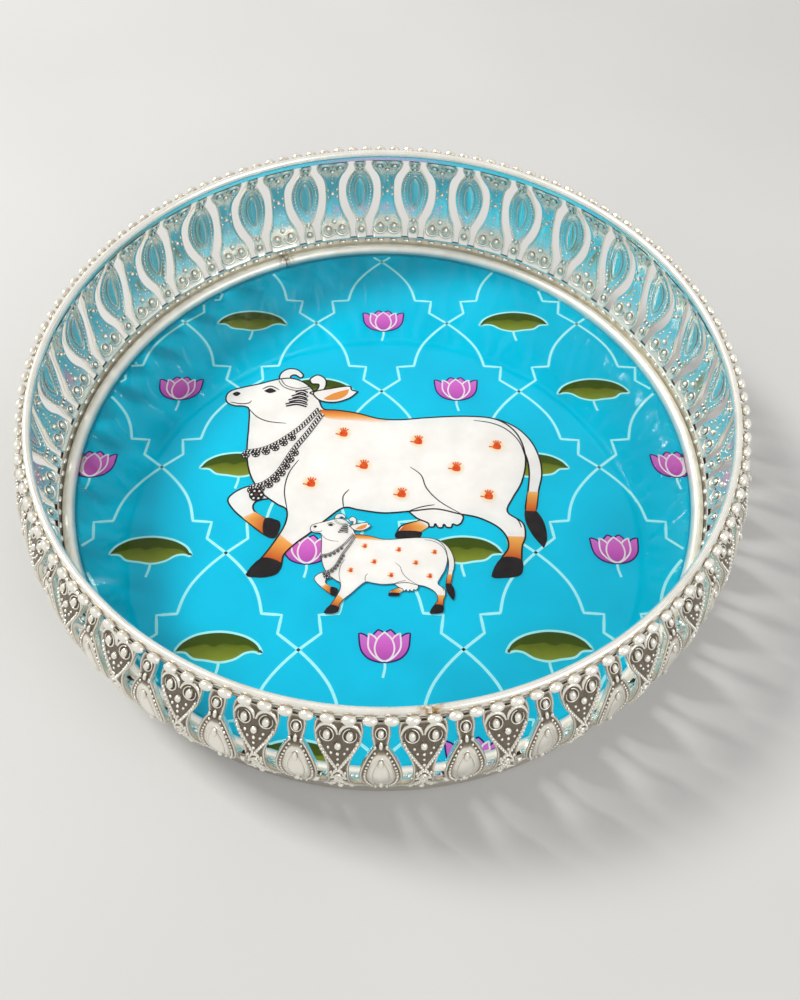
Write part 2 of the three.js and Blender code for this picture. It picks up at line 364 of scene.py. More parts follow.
def dome(shell, base, side, s, h, across, up, height, segments=8, rings=3, point=1.0):
    """A raised drop on the strip, drawn in rings that close to a tip."""
    rise = np.arange(rings)[:, None] * math.pi / 2 / rings
    wave, climb = pointed_round(segments, point).T
    lift = np.append(np.repeat(height * np.sin(rise) - SKIN, segments), height)
    s = np.append(s + across * np.cos(rise) * wave, s)
    h = np.append(h + up * np.cos(rise) * climb, h)
    tip = rings * segments
    last = np.arange(tip - segments, tip)
    fan = np.stack([last, np.roll(last, -1), np.full(segments, tip)], -1)[:, ::side]
    quads = grid_faces(rings, segments, closed=True, flip=side < 0)
    # A drop's mark rises from its foot to its tip: the tip is polished bright, and the darker foot is painted
    # shade where the drop meets the sheet.
    shell.add(lifted(base, side, s, h, lift), lift / height * 0.7 + 0.3, quads, fan)


# Where the points across a cord lie, from its left edge to its right.
CORD_STEPS = np.array([-1.0, -0.6, 0.0, 0.6, 1.0])


def ridge(shell, base, side, path, width, height, closed=False):
    """A rounded cord in relief along a path of places on the strip."""
    path = np.asarray(path, float)
    count = len(path)
    taper = np.ones(count) if closed else np.sin(np.linspace(0.12, 0.88, count) * math.pi) ** 0.6
    reach = sideways(path, closed) * (taper * width / 2)[:, None]
    places = path[:, None] + reach[:, None] * CORD_STEPS[:, None]
    lift = height * taper[:, None] * np.sqrt(1 - CORD_STEPS**2) - SKIN
    points = lifted(base, side, places[..., 0], places[..., 1], lift)
    if closed:
        points = np.concatenate([points, points[:1]])
    shell.add(points, POLISH, grid_faces(*points.shape[:2], flip=side > 0))


def both_ends(h):
    """The heights of a figure and of its mirror image in the strip's upper half."""
    return (h, 2 * MIDDLE - h)


# The ornament. A drop is given by its place s and h, its half width and half height, how far it
# stands out, and how many corners and rings it has. Its mirror image is made with it.
LENS_DROPS = (
    (0, 7.7, 0.85, 1.1, 0.95, 10, 4),
    (0, 10.9, 0.6, 1.2, 0.75),
    (-1.4, 11.3, 0.55, 0.75, 0.6),
    (1.4, 11.3, 0.55, 0.75, 0.6),
)
LENS_TIPS = ((0, MIDDLE - 6.5, 0.75, 1.8, 0.9, 10),)
LENS_EYE = {1: (0, MIDDLE, 2.25, 7.6, 0.4, 20, 5), -1: (0, MIDDLE, 2.25, 7.6, 0.95, 20, 5)}
EYE_POINT = 1.3
EYE_LINE = (2.95, 8.7)
GLASS_DROPS = (
    (0, 11.4, 0.95, 1.05, 1.0, 12, 4),
    (0, 14.0, 0.5, 0.5, 0.5, 6, 2),
    (0, 15.9, 0.4, 0.4, 0.4, 6, 2),
    (0, 18.0, 0.5, 0.5, 0.5, 6, 2),
)
KNOB = (2.75, 8.6)
KNOB_SIZE = (1.0, 1.3, 1.1, 12, 4)
WAIST_KNOT = (1.75, MIDDLE - 1.7, 0.5, 0.7, 0.6)
WAIST_BEAD = (0, MIDDLE, 0.8, 0.8, 0.95, 12, 4)
# Dots on the hourglass, and how far they move towards its middle outside.
GLASS_DOTS = ((3.6, 12.2), (2.9, 13.8))
DOTS_INWARDS = {1: 1.3, -1: 0.0}
DOT_RADIUS = 0.44
DOT_HEIGHT = 0.42
DOT_PITCH = 1.205
CORD_DOT_HEIGHT = 0.66
CORD_PITCH = 1.1
CORD_END = 0.6
RING_STEPS = 14
# One of the two cords that cross on the hourglass, from its lower corner up to its waist.
CORD = [
    (4.75, 10.0), (4.3, 11.7), (3.3, 13.9), (2.2, 16.2), (1.1, 18.3), (0.0, 20.4), (-1.1, 22.1),
    (-1.55, MIDDLE),
]


def drops(shell, base, side, table, sign=1):
    for s, h, *size in table:
        for height in both_ends(h):
            dome(shell, base, side, sign * s, height, *size)


def dot(shell, base, side, s, h, height=DOT_HEIGHT):
    dome(shell, base, side, s, h, DOT_RADIUS, DOT_RADIUS, height, segments=6, rings=2)


def dotted_edge(shell, base, side, half_width, inset, low, high):
    """Rows of dots that follow a figure's edges between two heights, and their mirror image."""
    for h in np.linspace(low, high, int((high - low) / DOT_PITCH)):
        for sign in SIDES:
            for height in both_ends(h):
                dot(shell, base, side, sign * (half_width(h) - inset), height)


def lens_ornament(shell, side):
    """The eye with its rows of dots, and on the bulb a ball in a ring under a drop between two knots."""

    def base(s, h):
        return figure_relief(lens_half(h), s, h)

    drops(shell, base, side, LENS_DROPS + (LENS_TIPS if side > 0 else ()))
    for h in both_ends(LENS_DROPS[0][1]):
        ridge(shell, base, side, circle((0, h), 1.35, RING_STEPS), 0.4, 0.3, closed=True)
    dome(shell, base, side, *LENS_EYE[side], point=EYE_POINT)
    oval = pointed_round(32, EYE_POINT) * EYE_LINE + (0, MIDDLE)
    ridge(shell, base, side, oval, 0.4, 0.22, closed=True)
    dotted_edge(shell, base, side, lens_half, 1.25, 13.2, MIDDLE - 0.4)


def crossing_cord(shell, base, sign):
    """A cord with dots along it, which crosses the other one below and above the waist."""
    lower = [(sign * s, h) for s, h in CORD]
    line = flow(lower + [(s, 2 * MIDDLE - h) for s, h in lower[-2::-1]], steps=3)
    ridge(shell, base, 1, line, 1.0, 0.4)
    length = way_along(line)[-1]
    for at in np.linspace(CORD_END, length - CORD_END, int(length / CORD_PITCH)):
        dot(shell, base, 1, *place_at(line, at), CORD_DOT_HEIGHT)


def glass_ornament(shell, side, signs=SIDES, centre=True):
    """The hourglass: at each end two pear-shaped knobs in scrolls, and a bead at the waist."""

    def base(s, h):
        return figure_relief(glass_half(h), s, h)

    for sign in signs:
        drops(shell, base, side, (KNOB + KNOB_SIZE, WAIST_KNOT), sign)
        scroll = arc_path((KNOB[0], 0), 2.55, 188, 352, 12)
        curl = arc_path((KNOB[0], 0), 1.65, 330, 630, 14)
        for h, up in zip(both_ends(KNOB[1]), (1, -1)):
            for path, width, lift in ((scroll, 0.95, 0.6), (curl, 0.45, 0.35)):
                ridge(shell, base, side, path * (sign, up) + (0, h), width, lift)
        if side > 0:
            crossing_cord(shell, base, sign)
        for s, low in GLASS_DOTS:
            for h in both_ends(low):
                dot(shell, base, side, sign * (s - DOTS_INWARDS[side]), h)
    if centre:
        drops(shell, base, side, GLASS_DROPS)
        if side > 0:
            ridge(shell, base, side, circle((0, MIDDLE), 0.7, RING_STEPS), 0.6, 0.65, closed=True)
        else:
            dome(shell, base, side, *WAIST_BEAD)


# The balls along the strip's head, and the beads on both faces of its foot.
BALLS_PER_REPEAT = 4
# A ball's half lengths outwards, along the row and upwards.
BALL_SIZE = (1.3, 1.95, 1.15)
BALL_REACH = 1.6
BALL_HEIGHT = RIM_TOP - BALL_SIZE[2] - 0.05
# A bead's side, its height from the foot, its half width and half height, and how far it stands out.
FOOT_BEADS = ((1, 2.45, 1.4, 1.3, 1.2), (-1, 3.4, 1.3, 0.8, 0.85))
SCALLOP = 0.55
# How far from the strip's edge each row of the borders lies, and how high its fine lines stand.
EDGE_ROWS = ((0.0, 0.0), (0.55, 0.0), (0.8, 0.22), (1.05, 0.0), (1.35, 0.0))
HEAD_ROWS = EDGE_ROWS + ((2.0, 0.0), (HEAD_BORDER, 0.0))
FOOT_ROWS = EDGE_ROWS + (
    (2.5, 0.0), (3.65, 0.0), (4.25, 0.0), (4.5, 0.22), (4.75, 0.0), (FOOT_BORDER, 0.0),
)


def border_band(shell, levels, upper):
    """The band of one repeat at the strip's foot or head, with its fine lines and scalloped edge."""
    angle = np.linspace(0, PITCH, 4 * BALLS_PER_REPEAT + 1)
    heights, relief = (column[:, None] + 0 * angle for column in np.array(levels).T)
    heights[0] = SCALLOP * (1 - np.abs(np.sin(angle / PITCH * BALLS_PER_REPEAT * math.pi)))
    if upper:
        heights, relief = STRIP_HEIGHT - heights[::-1], relief[::-1]
    along = angle * strip_radius(heights)
    sheets = {side: on_strip(along, heights, side * (STRIP_HALF + relief)) for side in SIDES}
    for side, points in sheets.items():
        # The band's ground carries the painted reflection tones: dark outside, light inside.
        polish_and_shade = relief * 2 + GROUND[side] + 0.1
        shell.add(points, polish_and_shade, grid_faces(*along.shape, flip=side < 0))
    for row, flip in ((0, False), (-1, True)):
        wall = np.stack([sheets[-1][row], sheets[1][row]])
        shell.add(wall, 0.0, grid_faces(2, len(angle), flip=flip))


def ball(segments=12, rings=6):
    """A long ball outside the head, at angle 0."""
    out, along, tall = BALL_SIZE
    up = np.linspace(-math.pi / 2, math.pi / 2, rings + 1)[:, None]
    turn = np.arange(segments) * TURN / segments
    lean = np.cos(up) * np.cos(turn)
    x = strip_radius(STRIP_HEIGHT) + BALL_REACH + out * lean
    y = along * np.cos(up) * np.sin(turn)
    z = BALL_HEIGHT + tall * np.sin(up) + 0 * lean
    shell = Shell()
    # The ball's mark is brightest on its outer face and darkest where it turns in to the strip, which is
    # painted shade between ball and strip.
    polish_and_shade = np.clip(lean * 0.5 + 0.65, 0.3, 1)
    shell.add(np.stack([x, y, z], -1), polish_and_shade, grid_faces(*lean.shape, closed=True))
    return shell


def border_beads(shell):
    """One repeat's balls outside the head and beads on the foot."""

    def base(s, h):
        return 0 * s

    for k in range(BALLS_PER_REPEAT):
        angle = (k + 0.5) / BALLS_PER_REPEAT * PITCH
        shell.join(ball(), angle)
        for side, h, *size in FOOT_BEADS:
            dome(shell, base, side, angle * strip_radius(h), h, *size, segments=12)


def strip_shell():
    """One length of strip from angle 0, as the solids have it."""
    lens, glass, left, right, border, strip = (Shell() for _ in range(6))
    figure_panel(lens, lens_half, lens_ground_and_polish)
    figure_panel(glass, glass_half, glass_ground_tone)
    figure_panel(left, glass_half, glass_ground_tone, start=0)
    figure_panel(right, glass_half, glass_ground_tone, stop=0)
    for side in SIDES:
        lens_ornament(lens, side)
        glass_ornament(glass, side)
        glass_ornament(left, side, signs=(1,))
        glass_ornament(right, side, signs=(-1,), centre=False)
    border_band(border, FOOT_ROWS, upper=False)
    border_band(border, HEAD_ROWS, upper=True)
    border_beads(border)
    for k in range(REPEATS_PER_LENGTH):
        strip.join(glass if k else left, k * PITCH)
        strip.join(border, k * PITCH)
        strip.join(lens, (k + 0.5) * PITCH)
    strip.join(right, REPEATS_PER_LENGTH * PITCH)
    return strip


# Turned and bent pieces.


def turned_shell(profile, closed=False, start=0.0, stop=TURN):
    """Sweeps a profile of radius and height round the axis."""
    profile = np.asarray(profile, float)
    if closed:
        profile = np.concatenate([profile, profile[:1]])
    whole = stop - start >= TURN - TINY
    steps = ROUND_STEPS if whole else ROUND_STEPS + 1
    angle = start + (stop - start) * np.arange(steps) / ROUND_STEPS
    radius, z = profile[:, :1], profile[:, 1:] + 0 * angle
    points = np.stack([radius * np.cos(angle), radius * np.sin(angle), z], -1)
    marks = np.stack([radius * angle, way_along(profile)[:, None] + 0 * angle, z], -1)
    shell = Shell()
    shell.add(points, marks, grid_faces(*z.shape, closed=whole))
    return shell


def bent_round(section, radius, seam_azimuth, gap):
    """A moulding bent round the axis, whose ends leave a gap at the seam."""
    start = angle_of_azimuth(seam_azimuth) + gap / radius / 2
    return turned_shell(section, closed=True, start=start, stop=start + TURN - gap / radius)


def crown(outer, width, bottom, height, steps=14):
    """A half-round section, outside to inside over the top."""
    turn = np.linspace(0, math.pi, steps)
    middle = outer - width / 2
    return np.stack([middle + width / 2 * np.cos(turn), bottom + height * np.sin(turn)], -1)


def rounded(corner, before, after, radius, steps=5):
    """Points of a fillet at a corner between two directions."""
    t = np.linspace(0, 1, steps)[:, None]
    return corner + radius * ((1 - t) ** 2 * before + t**2 * after)


# The printed picture. Places are in the picture's plane, x to the right and y to the back.
LATTICE_STEP = (24.57, 33.0)
LATTICE_TOP = (-4.4, 97.84)
LATTICE_TURN = math.radians(1.92)
LATTICE_ROWS = range(-1, 7)
LATTICE_COLUMNS = range(-6, 7)
LINE_WIDTH = 0.95
PRINT_EDGE = COVER_RADIUS - 0.2
# The height of one level of the print, and the share of it that each new shape rises.
LAYER = 0.03
LEVEL_STEP = 0.04
SMALLEST_AREA = 1e-7


def lattice_place(column, row):
    return rotated(np.multiply((column, -row), LATTICE_STEP), LATTICE_TURN) + LATTICE_TOP


class Sketch:
    """Flat coloured shapes on the picture, drawn in layers from below."""

    def __init__(self, name, level):
        self.name = name
        self.level = level
        self.points = []
        self.faces = []
        self.shades = []
        self.inks = []
        self.materials = []
        self.stand((0, 0))

    def stand(self, origin, scale=1.0, turn=0.0, flip=1):
        self.origin = np.asarray(origin, float)
        self.scale = scale
        self.turn = turn
        self.flip = flip

    def place(self, points):
        """Those points on the picture, drawn in where they would cross its edge."""
        points = rotated(np.multiply(points, (self.scale * self.flip, self.scale)), self.turn) + self.origin
        reach = np.hypot(*points.T)
        return points * np.minimum(1, PRINT_EDGE / np.maximum(reach, TINY))[:, None]

    def add(self, points, faces, ink, shades):
        first = len(self.points)
        height = PICTURE_TOP + self.level * LAYER
        if ink not in self.materials:
            self.materials.append(ink)
        self.points += [(x, y, height) for x, y in points]
        self.shades += list(shades)
        self.faces += [tuple(first + i for i in face) for face in faces]
        self.inks += [self.materials.index(ink)] * len(faces)
        self.level += LEVEL_STEP

    def fill(self, outline, ink, shade=None):
        shades = np.zeros(len(outline)) if shade is None else shade(np.asarray(outline, float))
        points = self.place(outline)
        corners = [Vector((x, y, 0)) for x, y in points]
        self.add(points, upward(points, tessellate_polygon([corners])), ink, shades)

    def glow(self, centre, radius, ink, steps=16):
        """A round spot whose shade fades from 1 in the middle to 0."""
        points = self.place(np.concatenate([[centre], circle(centre, radius, steps)]))
        faces = [(0, 1 + k, 1 + (k + 1) % steps) for k in range(steps)]
        self.add(points, upward(points, faces), ink, [1.0] + [0.0] * steps)

    def stroke(self, line, width, ink, closed=False, taper=0.0):
        line = self.place(line)
        count = len(line)
        thin = 1 - taper * np.abs(np.linspace(-1, 1, count)) ** 3
        across = sideways(line, closed) * (thin * width * self.scale / 2)[:, None]
        here = np.arange(count if closed else count - 1)
        right = (here + 1) % count
        faces = np.stack([here, right, count + right, count + here], -1).tolist()
        self.add(np.concatenate([line - across, line + across]), faces, ink, np.zeros(2 * count))

    def make(self):
        piece = link_mesh(self.name, self.points, self.faces, "shade", self.shades, self.materials)
        piece.data.polygons.foreach_set("material_index", self.inks)
        piece.data.update()
        return piece


def upward(points, faces):
    """The triangles that aren't slivers, turned to face up."""
    kept = []
    for face in faces:
        a, b, c = (points[i] for i in face)
        area = (b[0] - a[0]) * (c[1] - a[1]) - (b[1] - a[1]) * (c[0] - a[0])
        if abs(area) > SMALLEST_AREA:
            kept.append(tuple(face) if area > 0 else tuple(reversed(face)))
    return kept


# Materials. A colour is a triple, and a ramp a row of places with their colours.


def add_node(tree, kind, **settings):
    node = tree.nodes.new(kind)
    for name, value in settings.items():
        if name in node.inputs:
            node.inputs[name].default_value = value
        else:
            setattr(node, name, value)
    return node


def new_material(name):
    material = bpy.data.materials.new(name)
    material.use_nodes = True
    return material, material.node_tree, material.node_tree.nodes["Principled BSDF"]


def feed(tree, node, **sources):
    """Links sources to a node's sockets, or sets them to numbers. An _ stands for a blank."""
    for name, source in sources.items():
        socket = node.inputs[name.replace("_", " ")]
        if isinstance(source, (int, float)):
            socket.default_value = source
        else:
            tree.links.new(source, socket)


def ramp(tree, source, stops):
    node = add_node(tree, "ShaderNodeValToRGB")
    elements = node.color_ramp.elements
    while len(elements) < len(stops):
        elements.new(0.5)
    for element, (position, colour) in zip(elements, stops):
        element.position = position
        element.color = (*colour, 1)
    tree.links.new(source, node.inputs["Fac"])
    return node.outputs["Color"]


def remap(tree, source, low, high, to_low=0.0, to_high=1.0):
    node = add_node(tree, "ShaderNodeMapRange")
    feed(tree, node, Value=source, From_Min=low, From_Max=high, To_Min=to_low, To_Max=to_high)
    return node.outputs["Result"]


def object_place(tree):
    return add_node(tree, "ShaderNodeTexCoord").outputs["Object"]


def noise(tree, scale, detail=3.0, rough=0.55, vector=None, stretch=None):
    node = add_node(tree, "ShaderNodeTexNoise", Scale=scale, Detail=detail, Roughness=rough)
    if vector is None:
        vector = object_place(tree)
    if stretch:
        mapping = add_node(tree, "ShaderNodeMapping", Scale=stretch)
        tree.links.new(vector, mapping.inputs["Vector"])
        vector = mapping.outputs["Vector"]
    tree.links.new(vector, node.inputs["Vector"])
    return node.outputs["Fac"]


def bump(tree, shader, source, strength, distance):
    node = add_node(tree, "ShaderNodeBump", Strength=strength, Distance=distance)
    tree.links.new(source, node.inputs["Height"])
    tree.links.new(node.outputs["Normal"], shader.inputs["Normal"])


def combine(tree, operation, first, second):
    node = add_node(tree, "ShaderNodeMath", operation=operation, use_clamp=True)
    tree.links.new(first, node.inputs[0])
    tree.links.new(second, node.inputs[1])
    return node.outputs[0]


def mix(tree, share, first, second, blend="MIX"):
    node = add_node(tree, "ShaderNodeMix", data_type="RGBA", blend_type=blend)
    for socket, value in ((node.inputs[0], share), (node.inputs[6], first), (node.inputs[7], second)):
        if isinstance(value, (int, float)):
            socket.default_value = value
        elif isinstance(value, tuple):
            socket.default_value = (*value, 1)
        else:
            tree.links.new(value, socket)
    return node.outputs[2]


def attribute(tree, name, output="Fac"):
    return add_node(tree, "ShaderNodeAttribute", attribute_name=name).outputs[output]


STAMPED_TONES = (
    (0.0, (0.05, 0.034, 0.022)), (0.35, (0.46, 0.4, 0.32)),
    (0.7, (0.87, 0.83, 0.72)), (1.0, (0.97, 0.94, 0.85)),
)
DRAWN_TONES = ((0.3, (0.86, 0.83, 0.75)), (0.7, (0.97, 0.945, 0.87)))
SHEET_TONES = ((0.3, (0.5, 0.47, 0.41)), (0.7, (0.68, 0.645, 0.57)))
BOARD_TONES = ((0.3, (0.2, 0.12, 0.06)), (0.7, (0.36, 0.24, 0.13)))
FLOOR_TONES = ((0.3, (0.6, 0.595, 0.58)), (0.7, (0.64, 0.635, 0.62)))


def stamped_silver():
    """Polished high spots, and a dark, rougher skin in the recesses and round what stands on them, placed by
    an occlusion node: oxide together with painted shade.
    """
    material, tree, shader = new_material("stamped_silver")
    polish_and_shade = attribute(tree, "marks")
    # Where the occlusion node finds the relief closed in, the colour darkens: painted shade, laid over the
    # oxide in the hollows.
    crevice = add_node(tree, "ShaderNodeAmbientOcclusion", samples=6, only_local=True, Distance=0.0014)
    open_share = remap(tree, crevice.outputs["AO"], 0.3, 0.85)
    polish_and_occlusion = combine(tree, "MULTIPLY", remap(tree, polish_and_shade, 0.0, 0.75), open_share)
    wear_and_shade = mix(tree, 0.4, polish_and_occlusion, noise(tree, 620, 4.0), "OVERLAY")
    rough = remap(tree, wear_and_shade, 0, 1, 0.42, 0.17)
    feed(tree, shader, Base_Color=ramp(tree, wear_and_shade, STAMPED_TONES), Roughness=rough, Metallic=0.86)
    cells = add_node(tree, "ShaderNodeTexVoronoi", Scale=1250)
    tree.links.new(object_place(tree), cells.inputs["Vector"])
    dots = remap(tree, cells.outputs["Distance"], 0, 0.6, 1, 0)
    punched = mix(tree, remap(tree, polish_and_shade, 0.45, 0.7), dots, (0.5, 0.5, 0.5))
    bump(tree, shader, punched, 0.7, 0.00018)
    return material


def drawn_silver(name, azimuth, radius, height, stain, rough):
    """Smooth moulding with fine lines along it and a stain at the place where it was soldered."""
    material, tree, shader = new_material(name)
    marks = attribute(tree, "marks", "Vector")
    lines = noise(tree, 1.0, 4.0, 0.6, vector=marks, stretch=(0.12, 5.0, 0.0))
    angle = angle_of_azimuth(azimuth)
    away = add_node(tree, "ShaderNodeVectorMath", operation="DISTANCE")
    away.inputs[1].default_value = (radius * math.cos(angle) * MM, radius * math.sin(angle) * MM, height * MM)
    tree.links.new(object_place(tree), away.inputs[0])
    near = remap(tree, away.outputs["Value"], 0.0012, 0.0045, 1.0, 0.0)
    patch = combine(tree, "MULTIPLY", near, remap(tree, noise(tree, 900, 2.0), 0.38, 0.6))
    base = ramp(tree, noise(tree, 160), DRAWN_TONES)
    skin = remap(tree, lines, 0.3, 0.7, rough, rough + 0.16)
    feed(tree, shader, Base_Color=mix(tree, patch, base, stain), Roughness=skin, Metallic=0.7)
    bump(tree, shader, lines, 0.12, 0.00006)
    return material


def satin_sheet():
    """Plain rolled sheet with a brushed grain round the pan."""
    material, tree, shader = new_material("satin_sheet")
    marks = attribute(tree, "marks", "Vector")
    lines = noise(tree, 1.0, 5.0, 0.65, vector=marks, stretch=(0.05, 3.0, 0.0))
    rough = remap(tree, lines, 0.3, 0.7, 0.28, 0.46)
    feed(tree, shader, Base_Color=ramp(tree, lines, SHEET_TONES), Roughness=rough, Metallic=1.0)
    bump(tree, shader, lines, 0.15, 0.00008)
    return material


def printed(name, low, high, scale=260):
    """Printed ink: a slightly uneven flat colour."""
    material, tree, shader = new_material(name)
    colour = ramp(tree, noise(tree, scale), ((0.3, low), (0.7, high)))
    rough = remap(tree, noise(tree, 1200, 2.0), 0, 1, 0.47, 0.63)
    feed(tree, shader, Base_Color=colour, Roughness=rough, Specular_IOR_Level=0.0)
    return material


def shaded_print(name, grain, *stops):
    """Printed ink whose colour runs along the shape's own shade."""
    material, tree, shader = new_material(name)
    uneven = mix(tree, grain, attribute(tree, "shade"), noise(tree, 700), "OVERLAY")
    colour = ramp(tree, uneven, stops)
    feed(tree, shader, Base_Color=colour, Roughness=0.5, Specular_IOR_Level=0.0)
    return material


def clear_gloss():
    """A clear layer: what lies below shows through, and the surface only adds its gloss."""
    material, tree, shader = new_material("clear_gloss")
    tree.nodes.remove(shader)
    see_through = add_node(tree, "ShaderNodeBsdfTransparent")
    gloss = add_node(tree, "ShaderNodeBsdfGlossy")
    feed(tree, gloss, Roughness=remap(tree, noise(tree, 60), 0.3, 0.7, 0.03, 0.08))
    bump(tree, gloss, noise(tree, 55, 2.0), 0.25, 0.0003)
    share = add_node(tree, "ShaderNodeFresnel", IOR=1.34)
    both = add_node(tree, "ShaderNodeMixShader")
    for i, source in enumerate((share, see_through, gloss)):
        tree.links.new(source.outputs[0], both.inputs[i])
    tree.links.new(both.outputs["Shader"], tree.nodes["Material Output"].inputs["Surface"])
    return material


def fibreboard():
    material, tree, shader = new_material("fibreboard")
    fibres = noise(tree, 420, 5.0, 0.7, stretch=(1.0, 1.0, 4.0))
    feed(tree, shader, Base_Color=ramp(tree, fibres, BOARD_TONES), Roughness=0.85)
    bump(tree, shader, fibres, 0.3, 0.0001)
    return material


# The metalwork.


def make_gallery():
    silver = stamped_silver()
    strip = strip_shell()
    for i in range(STRIP_LENGTHS):
        length = Shell()
        length.join(strip, angle_of_azimuth(STRIP_JOINT_AZIMUTH) + TURN * i / STRIP_LENGTHS)
        piece = make_object(f"gallery_{i + 1}", length, silver)
        stand_for(piece, "gallery_metal", f"gallery_strip_{i + 1}")


def make_rim():
    middle = RIM_RADIUS - RIM_WIDTH / 2
    metal = drawn_silver("rim_silver", RIM_SEAM_AZIMUTH, middle, RIM_TOP, (0.42, 0.24, 0.07), 0.18)
    section = crown(RIM_RADIUS, RIM_WIDTH, STRIP_HEAD, RIM_TOP - STRIP_HEAD)
    shell = bent_round(section, RIM_RADIUS, RIM_SEAM_AZIMUTH, JOINT_GAP / 3)
    stand_for(make_object("rim", shell, metal), "moulding_metal", "rim_moulding")


def make_ring():
    middle = RING_RADIUS - RING_WIDTH / 2
    metal = drawn_silver("ring_silver", RING_SEAM_AZIMUTH, middle, RING_TOP, (0.3, 0.24, 0.16), 0.3)
    top = crown(RING_RADIUS, RING_WIDTH, COVER_TOP, RING_TOP - COVER_TOP)
    foot = [(x, PICTURE_TOP + SKIN) for x in (RING_RADIUS, RING_RADIUS - RING_WIDTH)]
    section = np.concatenate([foot[:1], top, foot[1:]])
    shell = bent_round(section, RING_RADIUS, RING_SEAM_AZIMUTH, JOINT_GAP)
    stand_for(make_object("ring", shell, metal), "moulding_metal", "inner_ring")


# Directions in a section, and the radius at which flat sheets end short of the axis.
OUT, UP = np.array([(1.0, 0.0), (0.0, 1.0)])
CORE = 0.01


def make_pan():
    inner = PAN_RADIUS - PAN_WALL
    profile = [
        [(CORE, 0.0), (PAN_RADIUS * 0.5, 0.0)],
        rounded((PAN_RADIUS, 0.0), -OUT, UP, 1.6, 8),
        rounded((PAN_RADIUS, STRIP_FOOT), -UP, -OUT, 0.25),
        rounded((inner, STRIP_FOOT), OUT, -UP, 0.25),
        [(inner, PAN_FLOOR), (CORE, PAN_FLOOR)],
    ]
    pan = make_object("pan", turned_shell(np.concatenate(profile)), satin_sheet())
    stand_for(pan, "pan_metal", "base_pan")


# The picture.


# From a crossing of the lattice, the arch and the steps that run down to the next one, in shares of
# the way to it.
ARCH = flow([(0, 0), (0.14, -0.1), (0.27, -0.21), (0.39, -0.34), (0.47, -0.48), (0.52, -0.64)])
ARCH_STEPS = [(0.77, -0.655), (0.735, -0.84), (1.0, -1.0)]


def draw_lattice(ink):
    sketch = Sketch("print_lattice", 1.0)
    line = np.concatenate([ARCH, ARCH_STEPS]) * LATTICE_STEP
    for row in LATTICE_ROWS:
        for column in LATTICE_COLUMNS:
            if (row + column) % 2:
                continue
            sketch.stand(lattice_place(column, row), turn=LATTICE_TURN)
            for side in SIDES:
                for piece in split_inside(sketch, line * (side, 1)):
                    sketch.level = 1.0
                    sketch.stroke(piece, LINE_WIDTH, ink)
    return sketch.make()


def split_inside(sketch, line):
    """The stretches of a line that lie on the picture, with its corners kept."""
    dense = [line[0]]
    for a, b in zip(line[:-1], line[1:]):
        count = max(1, int(np.linalg.norm(b - a) / 2))
        dense += [a + (b - a) * (k + 1) / count for k in range(count)]
    places = rotated(dense, sketch.turn) + sketch.origin
    stretches = [[]]
    for point, keep in zip(dense, np.hypot(*places.T) < PRINT_EDGE):
        if keep:
            stretches[-1].append(point)
        elif stretches[-1]:
            stretches.append([])
    return [np.array(stretch) for stretch in stretches if len(stretch) > 1]


def mirrored(points):
    return [(-x, y) for x, y in points]


LOTUS_STEM = [(0, -4.2), (-0.1, -6.4), (0.5, -9.2)]
LOTUS_BACK = [(0.3, -2.0), (2.4, 0.5), (3.0, 3.2), (1.7, 4.9), (1.7, 4.9), (0.2, 3.4)]
LOTUS_OUTER = [
    (0, -4.4), (2.6, -4.1), (4.9, -2.9), (6.5, -0.4), (7.0, 3.9), (7.0, 3.9), (5.2, 3.1), (3.4, 0.6),
    (1.2, -2.8),
]
LOTUS_MIDDLE = [(0.2, -4.2), (2.7, -3.0), (4.5, -0.2), (4.4, 4.0), (4.4, 4.0), (2.7, 2.9), (1.4, 0.4)]
LOTUS_FRONT = [
    (0, -4.3), (1.9, -3.2), (2.75, -0.6), (2.0, 2.3), (0, 4.4), (0, 4.4), (-2.0, 2.3), (-2.75, -0.6),
    (-1.9, -3.2),
]
PAD_STEM = [(-0.3, -4.2), (-0.2, -6.6), (0.5, -9.6)]
PAD_TOP = [
    (-12.6, -1.9), (-12.6, -1.9), (-10.6, 1.1), (-6.2, 3.5), (0, 4.6), (6.4, 3.8), (10.7, 1.5),
    (12.7, -1.2), (12.7, -1.2),
]
PAD_FOOT = [(9.6, -1.5), (7.2, -3.3), (3.4, -3.9), (-0.6, -4.5), (-4.6, -3.6), (-7.6, -1.7), (-10.2, -1.2)]
PAD_FOLD = [
    (12.0, -1.1), (12.0, -1.1), (8.0, 0.1), (4.4, 0.9), (1.6, 0.1), (-1.2, 1.1), (-5.0, 0.6),
    (-8.6, 0.4), (-12.0, -1.6), (-12.0, -1.6),
]


def draw_lotus(sketch, inks):
    """An open lotus: back petals, two pairs of side petals and the front petal."""

    def petal_shade(points):
        return (points[:, 1] + 4.5) / 9

    sketch.stroke(flow(LOTUS_STEM), 0.75, inks["pale"])
    for shape in (LOTUS_BACK, mirrored(LOTUS_BACK), LOTUS_OUTER, mirrored(LOTUS_OUTER)):
        line = flow(shape, closed=True)
        sketch.stroke(line, 0.95, inks["navy"], closed=True)
        sketch.fill(line, inks["pink"], petal_shade)
    for shape in (LOTUS_MIDDLE, mirrored(LOTUS_MIDDLE), LOTUS_FRONT):
        line = flow(shape, closed=True)
        sketch.fill(line, inks["pink"], petal_shade)
        sketch.stroke(line, 0.5, inks["white"], closed=True)


